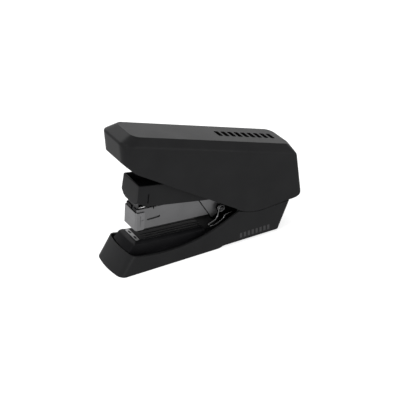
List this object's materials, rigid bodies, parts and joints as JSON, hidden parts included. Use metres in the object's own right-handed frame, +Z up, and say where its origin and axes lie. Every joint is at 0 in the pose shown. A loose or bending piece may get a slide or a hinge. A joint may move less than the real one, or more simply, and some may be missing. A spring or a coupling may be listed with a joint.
{
  "type": "stapler",
  "caption": "Compact desktop stapler: tall wedge handle on a lever fulcrum, driver head, sprung steel magazine and a base with raised anvil deck.",
  "frame": {"origin": "on the surface it stands on, under the middle of the object's bounding box", "axes": "+X runs along the object from its nose to its rear, +Y to the right of someone looking from its rear towards its nose, +Z up"},
  "size_m": [0.1348, 0.0338, 0.0932],
  "materials": {
    "shell_plastic": "fine-textured black ABS",
    "inner_plastic": "smooth black ABS",
    "rubber": "matt black rubber",
    "plated_steel": "satin nickel-plated pressed steel",
    "bright_steel": "bright drawn wire and polished blade"
  },
  "bodies": {
    "base": {"base_shell": "shell_plastic", "base_cover": "inner_plastic", "front_grip_pad": "rubber", "rear_grip_pad": "rubber", "deck_insert": "inner_plastic", "anvil_plate": "plated_steel", "pivot_frame": "plated_steel", "handle_pivot_pin": "plated_steel", "main_pivot_pin": "plated_steel", "cover_screw_1": "plated_steel", "cover_screw_2": "plated_steel", "cover_screw_3": "plated_steel", "cover_screw_4": "plated_steel"},
    "magazine": {"magazine_channel": "plated_steel", "front_plate": "plated_steel", "magazine_carrier": "plated_steel", "staple_rail": "plated_steel", "staple_strip": "bright_steel", "guide_rod": "bright_steel", "follower_spring": "bright_steel", "lift_spring_pin": "plated_steel", "lift_spring_left": "bright_steel", "lift_spring_right": "bright_steel"},
    "follower": {"follower": "inner_plastic"},
    "driver": {"head_housing": "shell_plastic", "driver_arm": "plated_steel", "driver_blade": "bright_steel", "blade_rivet_1": "plated_steel", "blade_rivet_2": "plated_steel"},
    "handle": {"handle_shell": "shell_plastic", "force_lever": "plated_steel", "lever_screw_1": "plated_steel", "lever_screw_2": "plated_steel", "roller_pin": "plated_steel", "handle_spring": "bright_steel"},
    "roller": {"roller": "bright_steel"}
  },
  "joints": [
    {"name": "handle_press", "type": "hinge", "parent": "base", "child": "handle", "pos_m": [0.0368, 0, 0.052], "axis": [0, -1, 0], "range_deg": [0, 16.5], "stiffness_Nm_per_rad": 2, "springref_deg": -17.19, "deforming": ["handle_spring"]},
    {"name": "driver_press", "type": "hinge", "parent": "base", "child": "driver", "pos_m": [0.0535, 0, 0.027], "axis": [0, -1, 0], "range_deg": [0, 7.8], "stiffness_Nm_per_rad": 1, "springref_deg": -11.46},
    {"name": "magazine_press", "type": "hinge", "parent": "base", "child": "magazine", "pos_m": [0.0535, 0, 0.027], "axis": [0, -1, 0], "range_deg": [0, 3.6], "stiffness_Nm_per_rad": 2, "springref_deg": -11.46, "deforming": ["lift_spring_left", "lift_spring_right"]},
    {"name": "follower_slide", "type": "slide", "parent": "magazine", "child": "follower", "axis": [0.9974, 0, -0.0715], "range_m": [0, 0.012], "stiffness_N_per_m": 60, "springref_m": -0.02, "deforming": ["follower_spring"]},
    {"name": "roller_spin", "type": "hinge", "parent": "handle", "child": "roller", "pos_m": [0.02182, 0, 0.04339], "axis": [0, 1, 0], "continuous": true}
  ],
  "couplings": [
    {"joint": "driver_press", "follows": "handle_press", "ratio": 0.4727},
    {"joint": "magazine_press", "follows": "handle_press", "ratio": 0.2181}
  ]
}
